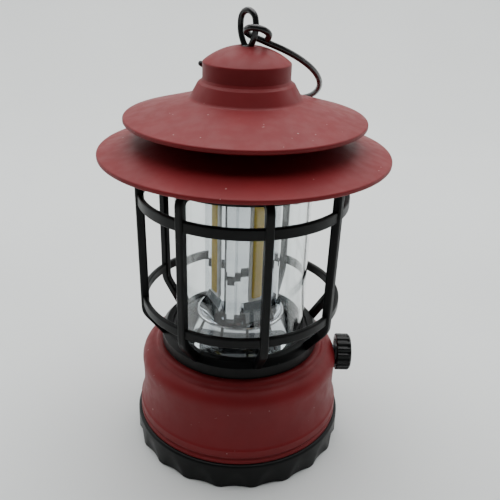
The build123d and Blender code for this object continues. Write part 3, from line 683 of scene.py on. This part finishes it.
class LANTERN_OT_cage(bpy.types.Operator):
    """Make the cage: two hoops, eight bent bars and the crown that they meet in"""

    bl_idname = "lantern.cage"
    bl_label = "Make the cage"

    def execute(self, context):
        for name in ("cage_lower_ring", "cage_upper_ring"):
            self.hoop(context, name)
        self.bars(context)
        self.crown(context)
        return {"FINISHED"}

    def hoop(self, context, node):
        """A flat hoop with eased edges, as wide and as high as its CAD ring."""
        radius = outer_radius(node)
        low, high = corner(node)[0][2], corner(node)[1][2]
        inner, ease = radius - 2.2, 0.65
        outline = rounded([(inner, low), (radius, low), (radius, high), (inner, high)], [ease] * 4)
        made = lathe(node.replace("cage_", "") + "_hoop", outline)
        dress(context, made, "black_plastic", "lantern", [node])

    def bars(self, context):
        """Eight bars: a rounded section carried up from the collar, along the hoops and in under the roof."""
        section = rounded([(1.8, -1.7), (1.8, 1.7), (-1.8, 1.7), (-1.8, -1.7)], [0.8] * 4)[::-1]
        bend = 7.0
        path = rounded(
            [(33.4, 53.2), (42.9, 65.4), (43.6, 128.7), (37.0, 128.7)], [0, bend, bend, 0], closed=False)
        first, count = -77.0, 8
        for number in range(count):
            angle = math.radians(first + 360 / count * number)
            right = (math.cos(angle), math.sin(angle), 0)
            made = carried(f"cage_upright_{number + 1}", section, path, (0, 0, 0), right, (0, 0, 1))
            dress(context, made, "black_plastic", "lantern", [f"cage_bar_{number + 1}"])

    def crown(self, context):
        """The crown under the roof: a ring round the glass, a plate over it and a wall up to the roof."""
        radius = outer_radius("cage_crown")
        low, high = corner("cage_crown")[0][2], corner("cage_crown")[1][2]
        wall_top = high - 2.2 * ROOF_SLOPE
        outline = rounded(
            [(5, 131.0), (30.6, 131.0), (30.6, low), (radius, low), (radius, wall_top), (radius - 2.2, high),
             (radius - 2.2, 133.0), (5, 133.0)], [0.3, 0.3, 0.4, 0.6, 0.3, 0.3, 0.3, 0.3])
        made = lathe("crown", outline)
        dress(context, made, "black_plastic", "lantern", ["cage_crown"])


class LANTERN_OT_glass(bpy.types.Operator):
    """Turn the clear chimney and its two rubber seals"""

    bl_idname = "lantern.glass"
    bl_label = "Make the chimney"

    def execute(self, context):
        radius = outer_radius("glass_chimney")
        low, high = corner("glass_chimney")[0][2], corner("glass_chimney")[1][2]
        inner = radius - 1.6
        outline = rounded([(inner, low), (radius, low), (radius, high), (inner, high)], [0.4] * 4)
        made = lathe("chimney", outline)
        dress(context, made, "clear_plastic", "lantern", ["glass_chimney"])
        for name, end, tip in (("lower", low, 51.0), ("upper", high, 131.0)):
            grip = end + 3.2 * (end - tip)
            hug = radius + 0.05
            points = [(27.2, tip), (30.5, tip), (30.5, grip), (hug, grip), (hug, end), (27.2, end)]
            if tip > end:
                points = points[::-1]
            seal = lathe(f"{name}_seal", rounded(points, [0.25] * 6))
            dress(context, seal, "seal_rubber", "lantern", [f"glass_seal_{name}"])
        return {"FINISHED"}


class LANTERN_OT_light(bpy.types.Operator):
    """Make the chromed skirt, the square column and the four light strips on their boards"""

    bl_idname = "lantern.light"
    bl_label = "Make the light"

    turn = 30.0
    face = 12.6

    def execute(self, context):
        self.skirt(context)
        self.column(context)
        self.strips(context)
        return {"FINISHED"}

    def skirt(self, context):
        """The flared mirror skirt with a dished top, whose lip is a small round bead."""
        flare = arc_through((27.0, 51.0), (22.2, 56.2), (19.6, 62.6), 26)
        bead = arc_through((19.6, 62.6), (19.0, 63.4), (18.4, 62.8), 12)
        dish = arc_through((18.4, 62.8), (14.5, 59.0), (9.0, 58.0), 20)
        inside = arc_through((14.2, 57.6), (20.6, 56.0), (25.2, 51.0), 14)
        outline = np.vstack([flare, bead[1:], dish[1:], [(9.0, 56.8)], inside])
        made = lathe("mirror_skirt", outline)
        dress(context, made, "chromed_plastic", "lantern", ["reflector_skirt"])

    def column(self, context):
        """The mirror column: a square shaft, a rib down each cut corner and a ramp under each face.

        At angle t the square's edge stands at its half side over cos t, the cut at its reach over the
        cosine from the corner, and the nearer of the two is the wall.  A rib or a ramp is a box, which
        stands at its face over the cosine until the line leaves its side.  The farthest of all is taken.
        """
        low, high = corner("reflector_column")[0][2], corner("reflector_column")[1][2]
        foot, shaft_from, cut, rib, rib_half, ramp_half = 13.5, 63.6, 14.3, 16.6, 1.65, 7.0
        quarter = math.pi / 2

        def block(off, reach, half):
            slope = np.abs(np.tan(off))
            return np.where(reach * slope <= half, reach / np.cos(off), 0)

        def shafted(r, h, t):
            start = math.radians(self.turn)
            off = (t - start + quarter / 2) % quarter - quarter / 2
            corner_off = (t - start) % quarter - quarter / 2
            wall = np.minimum(self.face / np.cos(off), cut / np.cos(corner_off))
            wall = np.maximum(wall, block(corner_off, rib, rib_half))
            ramp = np.interp(h, [65.5, 72.9], [17.2, 12.8])
            wall = np.where(h < 72.9, np.maximum(wall, block(off, ramp, ramp_half)), wall)
            wall = np.where(h < shaft_from, foot, wall)
            return np.where(r > foot - 1, wall, r)

        inner = 6.2
        heights = np.array([
            low, shaft_from - 0.01, shaft_from, 64.0, 65.5, 69.0, 72.89, 72.9, 73.2, 90, 110, high])
        side = np.stack([np.full(len(heights), foot), heights], 1)
        outline = np.vstack([[(inner, low)], side, [(inner, high)]])
        made = lathe("mirror_column", outline, shafted, steps=1440)
        made.data.set_sharp_from_angle(angle=math.radians(20))
        dress(context, made, "chromed_plastic", "lantern", ["reflector_column"])
        cap_low, cap_high = corner("reflector_cap")[0][2], corner("reflector_cap")[1][2]
        cap = rounded(
            [(4.0, cap_low), (16, cap_low), (27.0, cap_high - 1.0), (27.0, cap_high), (4.0, cap_high)],
            [0.3, 2, 0.3, 0.3, 0.3])
        dress(context, lathe("mirror_cap", cap), "chromed_plastic", "lantern", ["reflector_cap"])

    def strips(self, context):
        """Four white boards, each with a poured strip that is slightly crowned and round at its ends."""
        for number in range(4):
            angle = math.radians(self.turn - 90 + 90 * number)
            out = np.array([math.cos(angle), math.sin(angle), 0])
            side = np.array([-out[1], out[0], 0])
            low, high = corner(f"led_strip_{number + 1}")[0][2], corner(f"led_strip_{number + 1}")[1][2]
            middle = np.array([0, 0, (low + high) / 2])
            board = pad(f"light_board_{number + 1}", 3.5, (high - low) / 2 + 1.5, 0.8, 0.5,
                        out * self.face + middle, side, (0, 0, 1), crown=40)
            dress(context, board, "led_board", "lantern", [f"led_board_{number + 1}"])
            strip = pad(f"light_strip_{number + 1}", 2.45, (high - low) / 2, 0.6, 1.2,
                        out * (self.face + 0.8) + middle, side, (0, 0, 1), crown=4)
            dress(context, strip, "led_phosphor", "lantern", [f"led_strip_{number + 1}"])


class LANTERN_OT_knob(bpy.types.Operator):
    """Turn the fluted dimmer knob"""

    bl_idname = "lantern.knob"
    bl_label = "Make the knob"

    def execute(self, context):
        low, high = corner("dimmer_knob")
        near, far, radius = low[0], high[0], (high[2] - low[2]) / 2
        height = (high[2] + low[2]) / 2
        count = context.scene.lantern_sizes.flutes

        def fluted(r, h, t):
            off = (t * count / (2 * math.pi)) % 1 - 0.5
            hollow = 0.6 * np.clip(1 - (np.abs(off) / 0.34) ** 2, 0, 1) ** 0.7
            fade = np.clip((far - 0.5 - h) / 0.8, 0, 1)
            return np.where(r > radius - 1.6, r - hollow * fade, r)

        outline = rounded(
            [(2.0, near + 1.5), (6.0, near + 1.5), (6.0, near), (radius, near), (radius, far - 0.9),
             (radius - 0.9, far), (6.4, far), (5.4, far - 0.35), (0.02, far - 0.35), (0.02, far - 2.0),
             (2.0, far - 2.0)],
            [0, 0.2, 0.3, 0.4, 0.5, 0.5, 0.3, 0.6, 0, 0, 0])
        fine = []
        for start, end in zip(outline, np.roll(outline, -1, axis=0)):
            pieces = max(1, int(abs(end[1] - start[1]) / 0.5))
            fine += [start + (end - start) * k / pieces for k in range(pieces)]
        made = lathe("knob", np.array(fine), fluted, steps=16 * count, axis="X", weld=True)
        made.data.transform(Matrix.Translation((0, 0, height * MM)))
        dress(context, made, "black_plastic", "knob", ["dimmer_knob"], material="knob_plastic")
        mark = pad("knob_mark", 0.45, 2.0, 0.3, 0.4, (far - 0.36, 0, height + 3.2), (0, 1, 0), (0, 0, 1))
        dress(context, mark, "black_plastic", "knob", material="knob_plastic")
        return {"FINISHED"}


class LANTERN_OT_hanger(bpy.types.Operator):
    """Bend the hanging eye and the hook from round wire"""

    bl_idname = "lantern.hanger"
    bl_label = "Make the hanger"

    def execute(self, context):
        self.eye(context)
        self.hook(context)
        return {"FINISHED"}

    def circle(self, radius, count=28):
        """A round wire section."""
        t = np.linspace(0, 2 * math.pi, count, endpoint=False)
        return np.stack([np.cos(t), np.sin(t)], 1)[::-1] * radius

    def eye(self, context):
        """The eye: two legs that leave the dome together, open out and meet in a round top."""
        path = traced((0.9, 177.3), 47, [("bend", 12, 53), ("bend", 4, 160), ("bend", 12, 53)], 0.35)
        turn = math.radians(-45)
        made = carried("wire_eye", self.circle(1.2), path, (0, 0, 0), (math.cos(turn), math.sin(turn), 0),
                       (0, 0, 1), round_ends=1.2)
        dress(context, made, "black_wire", "lantern", ["hanging_eye"])
        foot = rounded([(0.02, 170.4), (2.1, 170.4), (2.1, 178.3), (0.02, 178.3)], [0, 0.3, 0.6, 0])
        stem = lathe("eye_stem", foot, steps=48, weld=True)
        dress(context, stem, "black_wire", "lantern")

    def hook(self, context):
        """The hook: a short leg, a small loop, a straight shank and a wide open bend with an eased tip."""
        joint = next(j for j in frame["joints"] if j["name"] == "hook_swing")
        pivot = np.array(joint["pos_m"]) / MM
        roll, fall, loop = 0.221, 0.578, 4.4
        path = traced((5.4, 3.0), 270, [
            ("run", 3.0), ("bend", loop, -250), ("run", 10.8), ("bend", 37.5, 81.7), ("bend", 19.1, 80),
            ("run", 12.5), ("bend", 17.7, 70), ("bend", 12, -35)], 0.5)
        right = np.array([1, 0, -roll])
        up = np.cross([roll, fall, 1], right)
        made = carried("wire_hook", self.circle(1.25), path, pivot, right, up, round_ends=1.25)
        dress(context, made, "black_wire", "hook", ["hook"])


class LANTERN_OT_hardware(bpy.types.Operator):
    """Finish the CAD pieces that stay as they are: fasteners, battery parts, board and leads"""

    bl_idname = "lantern.hardware"
    bl_label = "Finish the hardware"

    def execute(self, context):
        slots = {entry["node"]: entry["material_slot"] for entry in frame["record"]["subparts"]}
        for name, piece in frame["nodes"].items():
            if not piece.hide_render:
                piece.data.materials.clear()
                piece.data.materials.append(finish_for(context, slots[name]))
        return {"FINISHED"}


class LANTERN_OT_stage(bpy.types.Operator):
    """Set the paper backdrop, the lights and the camera"""

    bl_idname = "lantern.stage"
    bl_label = "Set the stage"

    def execute(self, context):
        self.backdrop(context)
        self.lights(context)
        self.camera(context)
        return {"FINISHED"}

    def backdrop(self, context):
        """A sheet of paper: flat under the lantern, curved up behind it into a wall, 3 m wide."""
        half = 1500.0
        path = rounded([(-half, 0), (900, 0), (1100, 1600)], [0, 500, 0], closed=False)
        across = np.array([-half, half])
        points = np.stack([np.repeat(across[None], len(path), 0), np.repeat(path[:, :1], 2, 1),
                           np.repeat(path[:, 1:], 2, 1)], -1).reshape(-1, 3)
        faces = [[2 * i, 2 * i + 1, 2 * i + 3, 2 * i + 2] for i in range(len(path) - 1)]
        made = fill_mesh("backdrop", points, faces)
        made.data.materials.append(backdrop_paper(context.scene.lantern_colours))

    def lights(self, context):
        """A broad soft light overhead, weaker cards at both sides, and a dim even surround."""
        for name, place, width, power in (("ceiling", (0.0, 0.25, 1.20), 1.5, 28.0),
                                          ("left card", (-0.95, 0.35, 0.55), 0.7, 3.0),
                                          ("right card", (0.95, 0.40, 0.55), 0.7, 3.4)):
            lamp = bpy.data.lights.new(name, "AREA")
            lamp.size = width
            lamp.energy = power
            made = bpy.data.objects.new(name, lamp)
            aim = Vector((0, 0, 0.1)) - Vector(place)
            made.location = place
            made.rotation_euler = aim.to_track_quat("-Z", "Y").to_euler()
            context.scene.collection.objects.link(made)
        world = bpy.data.worlds.new("surround")
        world.use_nodes = True
        shade = world.node_tree.nodes["Background"]
        shade.inputs["Color"].default_value = linear("#dfe2e3")
        shade.inputs["Strength"].default_value = 0.16
        context.scene.world = world

    def camera(self, context):
        """A camera a little above the roofs, in front of the lantern, looking down and tipped slightly."""
        lens = bpy.data.cameras.new("camera")
        lens.sensor_width = 36.0
        lens.lens = 46.8
        made = bpy.data.objects.new("camera", lens)
        ahead = Vector((0.01224409, 0.90484694, -0.42556092))
        right = Vector((0.99955233, 0.00054334, 0.02991403))
        up = right.cross(ahead)
        turn = Matrix((right, up, -ahead)).transposed().to_4x4()
        made.matrix_world = Matrix.Translation((0, -0.25856, 0.21321)) @ turn
        context.scene.collection.objects.link(made)
        context.scene.camera = made


class LANTERN_PT_panel(bpy.types.Panel):
    """The lantern's colours, sizes and making steps"""

    bl_label = "Camping lantern"
    bl_idname = "LANTERN_PT_panel"
    bl_space_type = "VIEW_3D"
    bl_region_type = "UI"
    bl_category = "Lantern"

    def draw(self, context):
        for group in (context.scene.lantern_colours, context.scene.lantern_sizes):
            for key in group.bl_rna.properties.keys():
                if key not in ("rna_type", "name"):
                    self.layout.prop(group, key)
        for step in STEPS:
            self.layout.operator(step.bl_idname)


STEPS = (
    LANTERN_OT_stage, LANTERN_OT_roofs, LANTERN_OT_base, LANTERN_OT_cage, LANTERN_OT_glass,
    LANTERN_OT_light, LANTERN_OT_knob, LANTERN_OT_hanger, LANTERN_OT_hardware,
)
CLASSES = (LanternColours, LanternSizes, *STEPS, LANTERN_PT_panel)


def register():
    """Registers the classes and hangs the settings on the scene."""
    for cls in CLASSES:
        bpy.utils.register_class(cls)
    bpy.types.Scene.lantern_colours = bpy.props.PointerProperty(type=LanternColours)
    bpy.types.Scene.lantern_sizes = bpy.props.PointerProperty(type=LanternSizes)


def unregister():
    """Removes the settings and the classes."""
    del bpy.types.Scene.lantern_sizes
    del bpy.types.Scene.lantern_colours
    for cls in reversed(CLASSES):
        bpy.utils.unregister_class(cls)


def main():
    """Registers the add-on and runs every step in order."""
    register()
    for step in STEPS:
        group, name = step.bl_idname.split(".")
        getattr(getattr(bpy.ops, group), name)()


if __name__ == "__main__":
    main()
